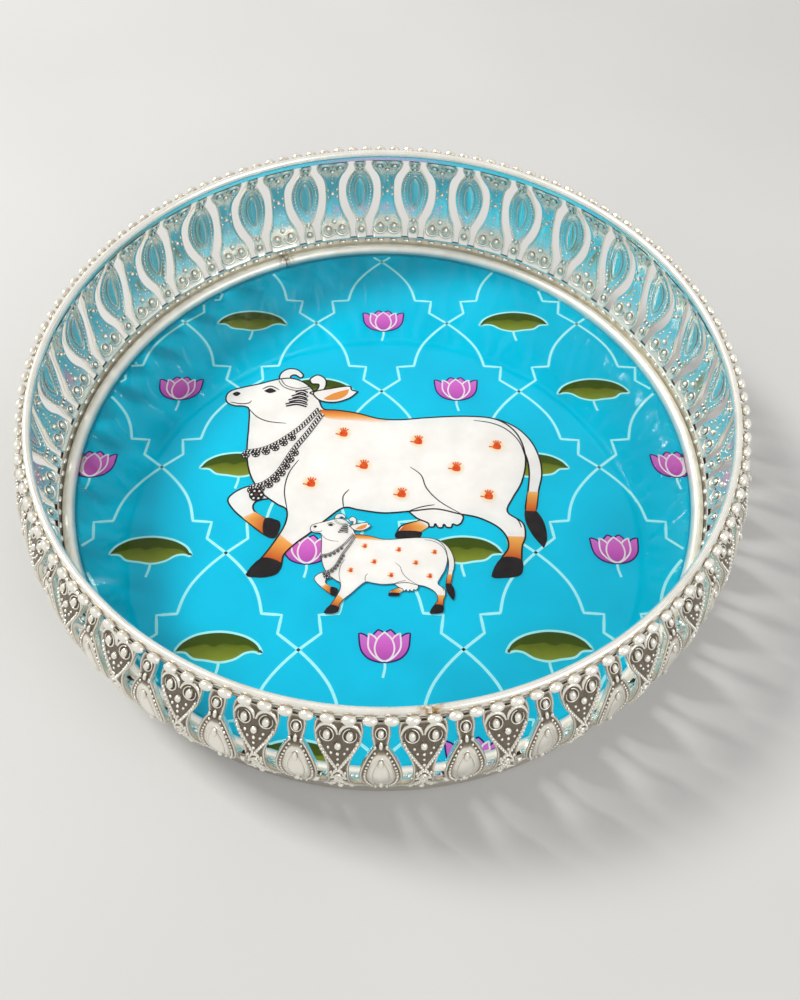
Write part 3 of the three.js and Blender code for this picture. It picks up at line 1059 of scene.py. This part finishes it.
def draw_pad(sketch, inks):
    """A lily pad seen from the side, its near half lighter."""
    sketch.stroke(flow(PAD_STEM), 0.85, inks["pale"])
    outline = flow(PAD_TOP + PAD_FOOT, closed=True)
    sketch.stroke(outline, 1.5, inks["pale"], closed=True)
    sketch.fill(outline, inks["olive"], lambda p: 0.15 + 0.2 * (4.6 - p[:, 1]) / 9)
    near = flow(PAD_FOLD + PAD_FOOT[::-1], closed=True)
    sketch.fill(near, inks["olive"], lambda p: 0.5 + 0.45 * (1.2 - p[:, 1]) / 5.5)


MOTIF_DROP = 0.97
MOTIF_COLUMNS = range(-5, 6)
MOTIF_REACH = 4
# How far right of their lattice cell the motifs of each row were printed.
MOTIF_SHIFTS = (0.6, 2.1, 1.2, 1.0, 1.0, 1.0)
LOTUS_SCALE = 1.07
# In each of four rows, the column out of four where a lotus stands. The others have pads.
LOTUS_COLUMNS = (0, 1, 0, 3)


def draw_motifs(inks):
    lotuses = Sketch("print_lotuses", 2.0)
    pads = Sketch("print_pads", 2.0)
    for row, shift in enumerate(MOTIF_SHIFTS):
        for column in MOTIF_COLUMNS:
            centre = lattice_place(column, row + MOTIF_DROP) + (shift, 0)
            if (row + column) % 2 or np.hypot(*centre) > PRINT_EDGE + MOTIF_REACH:
                continue
            flip = 1 if column > 0 else -1
            if column % 4 == LOTUS_COLUMNS[row % 4]:
                sketch, scale, draw = lotuses, LOTUS_SCALE, draw_lotus
            else:
                sketch, scale, draw = pads, 1.0, draw_pad
            sketch.level = 2.0
            sketch.stand(centre, scale=scale, turn=LATTICE_TURN, flip=flip)
            draw(sketch, inks)
    return lotuses.make(), pads.make()


# The cow, walking to the left with her head up. The points are given in millimetres from the middle of the
# picture. The calf is the same drawing, smaller.
COW_BODY = [
    (-55.4, 30.2), (-57.0, 28.0), (-56.6, 25.0), (-53.8, 23.4), (-50.2, 23.2), (-48.3, 21.6),
    (-47.6, 14.0), (-47.2, 6.0), (-46.2, -1.2), (-43.9, -7.6), (-40.0, -13.0), (-34.8, -17.0),
    (-31.4, -19.2), (-31.4, -24.6), (-34.2, -31.2), (-37.6, -37.2), (-41.8, -43.3), (-41.8, -43.3),
    (-37.2, -44.0), (-32.6, -42.7), (-31.2, -39.6), (-30.7, -35.8), (-27.2, -31.4), (-23.2, -27.7),
    (-17.8, -21.9), (-12.8, -17.7), (-7.6, -18.4), (0.4, -19.3), (9.2, -18.3), (17.2, -17.2),
    (24.8, -18.8), (31.2, -20.1), (37.2, -23.3), (40.1, -27.2), (40.4, -31.2), (38.1, -35.0),
    (34.9, -41.5), (34.9, -41.5), (40.0, -41.6), (44.1, -40.1), (44.5, -35.0), (44.9, -30.4),
    (46.1, -26.6), (45.5, -21.6), (40.7, -17.5), (42.6, -12.2), (45.9, -5.8), (47.7, 2.6),
    (46.9, 10.4), (43.6, 16.8), (37.4, 20.8), (27.2, 21.5), (14.2, 20.4), (5.0, 19.2), (-2.6, 19.4),
    (-10.2, 21.5), (-17.2, 22.6), (-22.2, 23.0), (-24.0, 26.4), (-25.8, 30.2), (-29.6, 34.4),
    (-34.4, 36.5), (-39.6, 35.9), (-45.8, 33.6), (-51.2, 31.9),
]
FAR_FORELEG = [
    (-40.0, -10.0), (-46.3, -11.0), (-50.9, -15.3), (-48.8, -19.6), (-43.6, -24.2), (-37.8, -28.7),
    (-34.5, -29.8), (-34.5, -29.8), (-33.2, -26.6), (-33.7, -23.6), (-37.9, -22.7), (-42.2, -19.4),
    (-41.4, -16.0), (-35.0, -14.0),
]
FAR_HIND_LEG = [
    (21.0, -17.6), (13.6, -21.3), (6.2, -24.0), (4.5, -28.4), (4.5, -28.4), (11.7, -28.1), (12.7, -25.8),
    (16.4, -23.4), (21.0, -21.6),
]
TAIL = [
    (38.0, 20.6), (44.8, 17.5), (49.8, 11.8), (52.4, 4.8), (52.9, -2.2), (51.4, -9.0), (49.9, -17.0),
    (46.7, -17.0), (47.9, -9.0), (48.7, -1.8), (48.2, 4.2), (46.0, 10.0), (42.0, 15.4),
]
TUFT = [
    (46.6, -16.6), (49.9, -16.6), (52.5, -21.2), (53.1, -27.0), (51.8, -30.8), (51.8, -30.8),
    (48.6, -26.4), (46.5, -21.2),
]
UDDER = [
    (8.6, -17.4), (10.8, -20.7), (14.6, -22.6), (15.2, -24.0), (16.6, -24.0), (17.1, -22.9), (18.0, -24.2),
    (19.4, -24.2), (19.9, -23.0), (20.9, -24.1), (22.3, -24.0), (22.8, -22.8), (24.2, -23.2), (25.7, -21.9),
    (25.5, -19.0), (17.0, -16.6),
]
COW_EAR = [
    (-26.2, 30.4), (-20.6, 32.2), (-14.0, 33.6), (-12.8, 31.9), (-10.6, 31.2), (-10.6, 31.2),
    (-13.4, 28.2), (-17.8, 26.2), (-22.2, 26.2), (-25.0, 27.6),
]
EAR_INSIDE = [(-22.4, 27.4), (-19.0, 30.2), (-13.8, 32.2), (-13.8, 32.2), (-14.6, 29.4), (-18.0, 27.2)]
NEAR_HORN = [
    (-27.6, 30.0), (-25.2, 31.6), (-24.8, 34.0), (-27.2, 34.3), (-28.0, 36.4), (-25.4, 38.4),
    (-22.5, 36.4), (-22.4, 32.6), (-24.8, 29.4),
]
FAR_HORN = [
    (-38.7, 35.2), (-38.9, 38.4), (-36.6, 40.8), (-33.2, 40.8), (-30.7, 38.3), (-31.5, 36.9),
    (-33.6, 38.2), (-35.1, 37.5), (-35.3, 35.4),
]
# The jaw, mouth, shoulder, armpit, thigh, flank, root of the tail and hock.
COW_LINES = (
    [(-48.3, 22.0), (-45.2, 18.7), (-41.0, 16.8), (-34.8, 16.2)],
    [(-55.2, 24.9), (-51.6, 24.3), (-48.8, 24.7), (-47.9, 25.8)],
    [(-31.2, -19.2), (-32.8, -11.8), (-32.0, -4.8), (-29.2, 0.8)],
    [(-12.9, -17.8), (-13.3, -13.4), (-11.5, -10.6)],
    [(25.2, -18.6), (18.6, -14.3), (14.2, -9.2), (12.3, -4.0), (8.6, -0.8)],
    [(8.8, -18.1), (12.8, -16.5), (16.8, -15.6)],
    [(30.4, 19.8), (36.4, 18.9), (41.8, 16.2), (46.0, 11.0), (47.8, 4.0)],
    [(41.4, -18.4), (44.0, -20.6), (45.0, -23.4)],
)
HUMP = [
    (-22.4, 22.8), (-17.2, 22.5), (-10.2, 21.4), (-2.6, 19.3), (1.4, 19.1), (-2.6, 17.4), (-10.0, 18.2),
    (-19.0, 18.6), (-23.4, 20.6),
]
HAND_PRINTS = [
    (-14.8, 12.7), (11.0, 10.3), (38.0, 9.1), (-7.2, -0.6), (24.0, -0.5), (-24.4, -8.4), (5.8, -11.6),
    (34.6, -11.4),
]
INK_WIDTH = 0.55
HOOVES = {
    "near fore": [(-37.6, -37.2), (-41.9, -43.4), (-37.2, -44.1), (-32.4, -42.8), (-31.2, -38.9)],
    "near hind": [(38.1, -34.8), (34.8, -41.6), (40.0, -41.7), (44.2, -40.2), (44.4, -35.2)],
    "far fore": [(-38.1, -22.6), (-38.0, -28.5), (-34.4, -30.0), (-33.0, -26.6), (-33.6, -23.5)],
    "far hind": [(5.2, -26.0), (4.4, -28.5), (8.0, -28.5), (11.8, -28.2), (12.4, -26.0)],
}
SOCKS = {
    "near fore": (
        [(-32.9, -28.4), (-34.2, -31.2), (-37.6, -37.3), (-31.2, -39.0), (-30.7, -35.8), (-28.0, -32.4)],
        (-30.6, -29.8),
    ),
    "near hind": (
        [(39.9, -26.8), (40.4, -31.2), (38.2, -34.9), (44.4, -35.3), (44.9, -30.4), (46.0, -26.8)],
        (43.0, -26.2),
    ),
    "far fore": ([(-45.4, -22.6), (-38.0, -28.4), (-37.9, -22.7), (-41.6, -20.2)], (-44.2, -20.6)),
    "far hind": ([(7.0, -23.7), (5.3, -26.1), (12.4, -26.1), (14.8, -24.2), (12.4, -21.8)], (13.6, -22.2)),
}
ROPES = (
    [(-23.8, 23.0), (-29.6, 14.6), (-37.0, 7.6), (-42.2, 4.6), (-47.8, 3.4)],
    [(-22.6, 20.8), (-26.8, 12.6), (-31.4, 4.6), (-35.6, -4.6), (-39.8, -9.2), (-44.2, -10.8)],
)
FOREHEAD_BAND = [(-38.8, 35.6), (-36.8, 32.8), (-32.4, 31.4), (-28.0, 32.4)]
TASSEL_BANDS = [(-32.6, -28.6, 30.0), (-33.8, -28.3, 28.2), (-34.8, -28.2, 26.4), (-35.7, -28.2, 24.5)]
BROW = [(-44.6, 31.2), (-41.8, 32.6), (-38.6, 31.0)]
EYE = [(-44.0, 30.3), (-44.0, 30.3), (-41.8, 31.7), (-39.5, 30.4), (-39.5, 30.4), (-41.8, 29.4)]
NOSTRIL = [(-54.9, 28.5), (-53.7, 29.6), (-52.2, 28.9), (-53.4, 27.6)]
TAIL_BAND = [(51.2, -9.4), (50.0, -17.0), (46.8, -17.0), (47.8, -9.4)]
TAIL_BAND_START = (49.8, -7.0)
PENDANT = (-41.8, -13.8)
SOCK_LENGTH = 8.0
# A hand print's palm, its thumb, and how its fingers lean, about its middle.
PALM = [(-1.1, -1.2), (1.2, -1.5), (1.5, 0.3), (0.2, 0.9), (-1.0, 0.4)]
THUMB = [(-0.4, -0.8), (-2.6, -0.4)]
FINGER_ROOT = (0.1, 0.0)
FINGER_MIDDLE = (0.2, -0.2)
FINGER_REACH = 2.5
FINGER_TURNS = (52, 76, 98, 120)
# A flower's petals, in shares of its size.
PETALS_AT = 0.64
PETAL_SIZE = 0.17
HEART_SIZE = 0.3
# A necklace's links cross its cord. Its flowers hang below it from this share of its length on.
LINK_PITCH = 1.25
LINK_LEAN = 0.6
FLOWERS_FROM = 0.46
FLOWER_HANG = (0.5, -1.2)
FLOWER_SIZE = 1.45


def fade_from(place, length):
    """A shade that grows from 0 at the place to 1 at the length."""

    def shade(points):
        return np.clip(np.hypot(*(points - place).T) / length, 0, 1)

    return shade


def draw_hand(sketch, centre, inks):
    """A small hand print: a palm, four fingers and a thumb."""
    sketch.glow(centre, 3.0, inks["glow"])
    sketch.fill(flow(np.add(PALM, centre), closed=True, steps=3), inks["red"])
    tips = [arc_path(FINGER_MIDDLE, FINGER_REACH, turn, turn, 1)[0] for turn in FINGER_TURNS]
    for line in (*((FINGER_ROOT, tip) for tip in tips), THUMB):
        sketch.stroke(np.add(line, centre), 0.5, inks["red"])


def outlined(sketch, shape, inks):
    line = flow(shape, closed=True)
    sketch.fill(line, inks["hide"])
    sketch.stroke(line, INK_WIDTH, inks["black"], closed=True)


def draw_foot(sketch, name, inks):
    shape, start = SOCKS[name]
    sketch.fill(shape, inks["sock"], fade_from(start, SOCK_LENGTH))
    sketch.fill(HOOVES[name], inks["black"])
    sketch.fill(flow(HOOVES[name], closed=True, steps=4), inks["black"])


def draw_flower(sketch, centre, size, inks):
    """A dark disc with pale petals round a brown heart."""
    sketch.fill(circle(centre, size, 12), inks["black"])
    for petal in circle(centre, PETALS_AT * size, 6):
        sketch.fill(circle(petal, PETAL_SIZE * size, 6), inks["white"])
    sketch.fill(circle(centre, HEART_SIZE * size, 8), inks["brown"])


def draw_necklace(sketch, rope, inks, flowers):
    """A white cord crossed by black links, whose lower part carries flowers."""
    line = flow(rope, steps=8)
    sketch.stroke(line, 1.9, inks["black"])
    sketch.stroke(line, 1.4, inks["white"])
    length = way_along(line)[-1]
    for at in np.arange(0.7, length, LINK_PITCH):
        ends = np.array([place_at(line, at - 0.5), place_at(line, at + 0.5)])
        lean = sideways(ends, closed=False) * [[-LINK_LEAN], [LINK_LEAN]]
        sketch.stroke(ends + lean, 0.62, inks["black"])
    for at in np.linspace(FLOWERS_FROM, 1, flowers) * length:
        draw_flower(sketch, place_at(line, at) + FLOWER_HANG, FLOWER_SIZE, inks)


def draw_cow(name, origin, scale, level, inks):
    """The cow in layers, from the legs on her far side to the ornaments."""
    sketch = Sketch(name, level)
    sketch.stand(origin, scale=scale)
    black, sock = inks["black"], inks["sock"]
    for leg, foot in ((FAR_HIND_LEG, "far hind"), (FAR_FORELEG, "far fore")):
        outlined(sketch, leg, inks)
        draw_foot(sketch, foot, inks)
    for shape in (FAR_HORN, UDDER, TAIL):
        outlined(sketch, shape, inks)
    sketch.fill(flow(TUFT, closed=True), black)
    sketch.fill(TAIL_BAND, sock, fade_from(TAIL_BAND_START, SOCK_LENGTH))
    outlined(sketch, COW_BODY, inks)
    sketch.fill(flow(HUMP, closed=True), sock, lambda p: np.clip((p[:, 1] - 17.4) / 5.6, 0, 1))
    for foot in ("near fore", "near hind"):
        draw_foot(sketch, foot, inks)
    sketch.stroke(flow(COW_BODY, closed=True), INK_WIDTH, black, closed=True)
    for line in COW_LINES:
        sketch.stroke(flow(line), 0.42, black, taper=0.5)
    for centre in HAND_PRINTS:
        draw_hand(sketch, centre, inks)
    for shape in (NEAR_HORN, COW_EAR):
        outlined(sketch, shape, inks)
    sketch.fill(flow(EAR_INSIDE, closed=True), sock, lambda p: np.full(len(p), 0.62))
    draw_face(sketch, inks)
    for rope, flowers in zip(ROPES, (6, 8)):
        draw_necklace(sketch, rope, inks, flowers)
    draw_flower(sketch, PENDANT, 2.5, inks)
    return sketch.make()


def draw_face(sketch, inks):
    black, white = inks["black"], inks["white"]
    sketch.fill(flow(EYE, closed=True), black)
    sketch.stroke(flow(BROW), 0.4, black, taper=0.5)
    sketch.fill(flow(NOSTRIL, closed=True), black)
    sketch.stroke(flow(FOREHEAD_BAND), 1.3, black)
    sketch.stroke(flow(FOREHEAD_BAND), 0.7, white)
    for left, right, y in TASSEL_BANDS:
        line = flow([(left, y - 0.3), ((left + right) / 2, y + 0.6), (right, y - 0.3)])
        sketch.stroke(line, 1.6, black)
        sketch.stroke(line, 0.35, white)


# Each flat ink's two tones and how fine its unevenness is.
FLAT_INKS = {
    "pale": ((0.42, 0.96, 1.0), (0.52, 1.0, 1.0), 260),
    "white": ((0.82, 0.81, 0.79), (0.93, 0.92, 0.9), 260),
    "navy": ((0.016, 0.012, 0.09), (0.03, 0.02, 0.14), 260),
    "black": ((0.012, 0.01, 0.012), (0.03, 0.024, 0.026), 260),
    "brown": ((0.05, 0.022, 0.018), (0.12, 0.05, 0.04), 260),
    "red": ((0.62, 0.045, 0.01), (0.8, 0.13, 0.02), 900),
    "hide": ((0.86, 0.845, 0.81), (0.95, 0.935, 0.905), 120),
    "ground": ((0.0, 0.54, 0.76), (0.0, 0.62, 0.85), 45),
}
# Each shaded ink's grain and its tones from shade 0 to 1.
SHADED_INKS = {
    "pink": (0.12, (0.0, (0.5, 0.08, 0.46)), (0.5, (0.66, 0.14, 0.58)), (1.0, (0.74, 0.2, 0.66))),
    "olive": (0.4, (0.0, (0.028, 0.055, 0.002)), (0.45, (0.09, 0.135, 0.003)), (1.0, (0.29, 0.34, 0.035))),
    "sock": (0.12, (0.0, (0.9, 0.89, 0.86)), (0.45, (0.9, 0.42, 0.09)), (1.0, (0.62, 0.09, 0.01))),
    "glow": (0.12, (0.0, (0.87, 0.86, 0.835)), (0.5, (0.93, 0.74, 0.42)), (1.0, (0.95, 0.5, 0.12))),
}
CALF_PLACE = (0.9, -37.5)
CALF_SCALE = 0.42
# The sheet's edge, just inside its solid.
SHEET_EDGE = PICTURE_RADIUS - 0.3
SHEET_THICKNESS = 0.29


def make_picture():
    inks = {name: printed(f"ink_{name}", *tones) for name, tones in FLAT_INKS.items()}
    inks |= {name: shaded_print(f"ink_{name}", *tones) for name, tones in SHADED_INKS.items()}
    low, high = PICTURE_TOP - SHEET_THICKNESS, PICTURE_TOP
    ground = turned_shell([(SHEET_EDGE, low), (SHEET_EDGE, high), (CORE, high)])
    sheet = make_object("print_ground", ground, inks["ground"], smooth=False)
    stand_for(sheet, "picture", "picture_disc")
    lattice = draw_lattice(inks["pale"])
    lotuses, pads = draw_motifs(inks)
    cow = draw_cow("print_cow", (0, 0), 1.0, 5.0, inks)
    calf = draw_cow("print_calf", CALF_PLACE, CALF_SCALE, 18.0, inks)
    for piece in (lattice, lotuses, pads, cow, calf):
        stand_for(piece, "picture")


def make_cover():
    edge = rounded((COVER_RADIUS, COVER_TOP), -UP, -OUT, 0.4)
    profile = np.concatenate([[(COVER_RADIUS, PICTURE_TOP + 0.05)], edge, [(CORE, COVER_TOP)]])
    cover = make_object("cover", turned_shell(profile), clear_gloss())
    stand_for(cover, "cover", "clear_cover")


def finish_board():
    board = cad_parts["base_board"]
    board.data.materials.clear()
    board.data.materials.append(fibreboard())


# The stage: a pale floor, soft lamps and the camera.
CAMERA_PLACE = (5.47, -173.22, 253.08)
CAMERA_ELEVATION = 57.301
CAMERA_ROLL = 1.611
FOCAL_PIXELS = 894.8
PHOTO_LONG_SIDE = 1000
SENSOR = 36.0
FLOOR_REACH = 3.0


def make_camera():
    data = bpy.data.cameras.new("camera")
    data.sensor_fit = "AUTO"
    data.sensor_width = SENSOR
    data.lens = FOCAL_PIXELS / PHOTO_LONG_SIDE * SENSOR
    data.clip_start = 0.01
    data.clip_end = 20
    camera = link_new("camera", data)
    tilt = Matrix.Rotation(math.radians(90 - CAMERA_ELEVATION), 4, "X")
    roll = Matrix.Rotation(math.radians(CAMERA_ROLL), 4, "Z")
    camera.matrix_world = Matrix.Translation(Vector(CAMERA_PLACE) * MM) @ tilt @ roll
    bpy.context.scene.camera = camera


def make_lamp(name, place, side, power, colour):
    data = bpy.data.lights.new(name, "AREA")
    data.shape = "SQUARE"
    data.size = side
    data.energy = power
    data.color = colour
    lamp = link_new(name, data)
    lamp.location = place
    lamp.rotation_euler = (-Vector(place)).to_track_quat("-Z", "Y").to_euler()


def make_floor():
    material, tree, shader = new_material("pale_floor")
    feed(tree, shader, Base_Color=ramp(tree, noise(tree, 6, 2.0), FLOOR_TONES), Roughness=0.7)
    mesh = bpy.data.meshes.new("floor")
    corners = [(x * FLOOR_REACH, y * FLOOR_REACH, 0) for x, y in ((-1, -1), (1, -1), (1, 1), (-1, 1))]
    mesh.from_pydata(corners, [], [(0, 1, 2, 3)])
    mesh.materials.append(material)
    floor = link_new("floor", mesh)


def make_world():
    """An even pale world, a little brighter to the camera and in what it sees by reflection."""
    world = bpy.data.worlds.new("studio")
    world.use_nodes = True
    tree = world.node_tree
    background = tree.nodes["Background"]
    background.inputs["Color"].default_value = (0.9, 0.9, 0.9, 1)
    path = add_node(tree, "ShaderNodeLightPath")
    shown = path.outputs["Is Camera Ray"]
    for ray in ("Is Glossy Ray", "Is Transmission Ray"):
        shown = combine(tree, "MAXIMUM", shown, path.outputs[ray])
    feed(tree, background, Strength=remap(tree, shown, 0, 1, 0.62, 0.85))
    bpy.context.scene.world = world


make_camera()
make_gallery()
make_rim()
make_ring()
make_pan()
make_picture()
make_cover()
finish_board()
make_floor()
make_world()
make_lamp("key", (-0.8, 0.34, 1.08), 0.34, 13.0, (1.0, 0.985, 0.955))
make_lamp("fill", (0.6, -0.5, 0.7), 0.6, 2.2, (0.96, 0.98, 1.0))

bpy.context.scene.view_settings.view_transform = "Standard"
